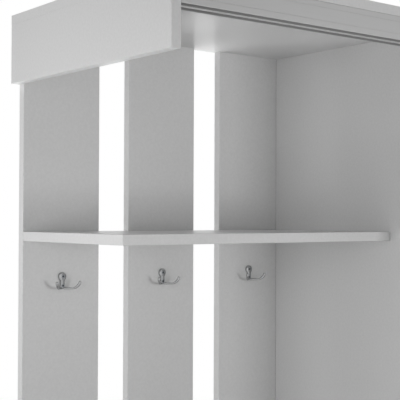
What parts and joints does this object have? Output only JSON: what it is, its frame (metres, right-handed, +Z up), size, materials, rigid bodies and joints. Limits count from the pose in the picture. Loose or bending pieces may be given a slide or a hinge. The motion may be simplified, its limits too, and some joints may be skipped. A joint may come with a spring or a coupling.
{
  "type": "mudroom locker unit",
  "caption": "White laminated hall locker with an open slatted coat niche, hat shelf, double hooks and shoe bench beside a wardrobe bay, closed by sliding doors in a double track.",
  "frame": {"origin": "on the floor, under the middle of the unit", "axes": "+X to the right along the front, +Y from the front to the back, +Z up"},
  "size_m": [1.2, 0.46, 2.04],
  "materials": {
    "white_laminate": "white melamine laminate on chipboard, fine satin grain",
    "white_hardboard": "white lacquered hardboard",
    "chrome_casting": "polished chrome on zinc casting",
    "chrome_tube": "polished chrome on steel tube",
    "lacquered_track": "white lacquer on extruded aluminium",
    "anodised_runner": "natural anodised aluminium",
    "satin_pull": "satin anodised aluminium",
    "zinc_steel": "zinc-plated steel",
    "white_plastic": "white moulded plastic",
    "nylon_roller": "natural nylon",
    "grey_rubber": "grey rubber",
    "black_glide": "black polyethylene",
    "beech_dowel": "fluted beech"
  },
  "bodies": {
    "carcass": {"base_board": "white_laminate", "bench_end_panel": "white_laminate", "bench_seat": "white_laminate", "bottom_track": "anodised_runner", "bracket_screws": "zinc_steel", "carcass_screws": "zinc_steel", "clothes_rail": "chrome_tube", "coat_hook_left": "chrome_casting", "coat_hook_middle": "chrome_casting", "coat_hook_right": "chrome_casting", "cover_caps": "white_plastic", "floor_glides": "black_glide", "hat_shelf": "white_laminate", "hook_screws": "zinc_steel", "left_valance": "white_laminate", "partition": "white_laminate", "plinth_back": "white_laminate", "plinth_front": "white_laminate", "plinth_left": "white_laminate", "plinth_middle": "white_laminate", "rail_screws": "zinc_steel", "rail_sockets": "chrome_tube", "right_side_panel": "white_laminate", "shelf_pins": "zinc_steel", "shoe_shelf": "white_laminate", "slat_left": "white_laminate", "slat_middle": "white_laminate", "slat_right": "white_laminate", "top_board": "white_laminate", "top_track": "lacquered_track", "track_screws": "zinc_steel", "track_stops": "grey_rubber", "wall_brackets": "zinc_steel", "wardrobe_back_panel": "white_hardboard", "wardrobe_low_shelf": "white_laminate", "wardrobe_shelf": "white_laminate", "wood_dowels": "beech_dowel"},
    "front_door": {"front_door_panel": "white_laminate", "front_door_guides": "white_plastic", "front_door_guide_screws": "zinc_steel", "front_door_roller_housings": "white_plastic", "front_door_axles": "zinc_steel", "front_door_pull": "satin_pull"},
    "rear_door": {"rear_door_panel": "white_laminate", "rear_door_guides": "white_plastic", "rear_door_guide_screws": "zinc_steel", "rear_door_roller_housings": "white_plastic", "rear_door_axles": "zinc_steel", "rear_door_pull": "satin_pull"},
    "front_door_wheel_left": {"front_door_roller_left": "nylon_roller"},
    "front_door_wheel_right": {"front_door_roller_right": "nylon_roller"},
    "rear_door_wheel_left": {"rear_door_roller_left": "nylon_roller"},
    "rear_door_wheel_right": {"rear_door_roller_right": "nylon_roller"}
  },
  "joints": [
    {"name": "front_door_slide", "type": "slide", "parent": "carcass", "child": "front_door", "axis": [1, 0, 0], "range_m": [-0.568, 0]},
    {"name": "front_door_wheel_left_spin", "type": "hinge", "parent": "front_door", "child": "front_door_wheel_left", "pos_m": [0.046, -0.221, 0.0973], "axis": [0, 1, 0], "continuous": true},
    {"name": "front_door_wheel_right_spin", "type": "hinge", "parent": "front_door", "child": "front_door_wheel_right", "pos_m": [0.522, -0.221, 0.0973], "axis": [0, 1, 0], "continuous": true},
    {"name": "rear_door_slide", "type": "slide", "parent": "carcass", "child": "rear_door", "axis": [1, 0, 0], "range_m": [-0.568, 0]},
    {"name": "rear_door_wheel_left_spin", "type": "hinge", "parent": "rear_door", "child": "rear_door_wheel_left", "pos_m": [0.046, -0.198, 0.0973], "axis": [0, 1, 0], "continuous": true},
    {"name": "rear_door_wheel_right_spin", "type": "hinge", "parent": "rear_door", "child": "rear_door_wheel_right", "pos_m": [0.522, -0.198, 0.0973], "axis": [0, 1, 0], "continuous": true}
  ],
  "couplings": [
    {"joint": "front_door_wheel_left_spin", "follows": "front_door_slide", "rad_per_m": 66.667},
    {"joint": "front_door_wheel_right_spin", "follows": "front_door_slide", "rad_per_m": 66.667},
    {"joint": "rear_door_wheel_left_spin", "follows": "rear_door_slide", "rad_per_m": 66.667},
    {"joint": "rear_door_wheel_right_spin", "follows": "rear_door_slide", "rad_per_m": 66.667}
  ]
}
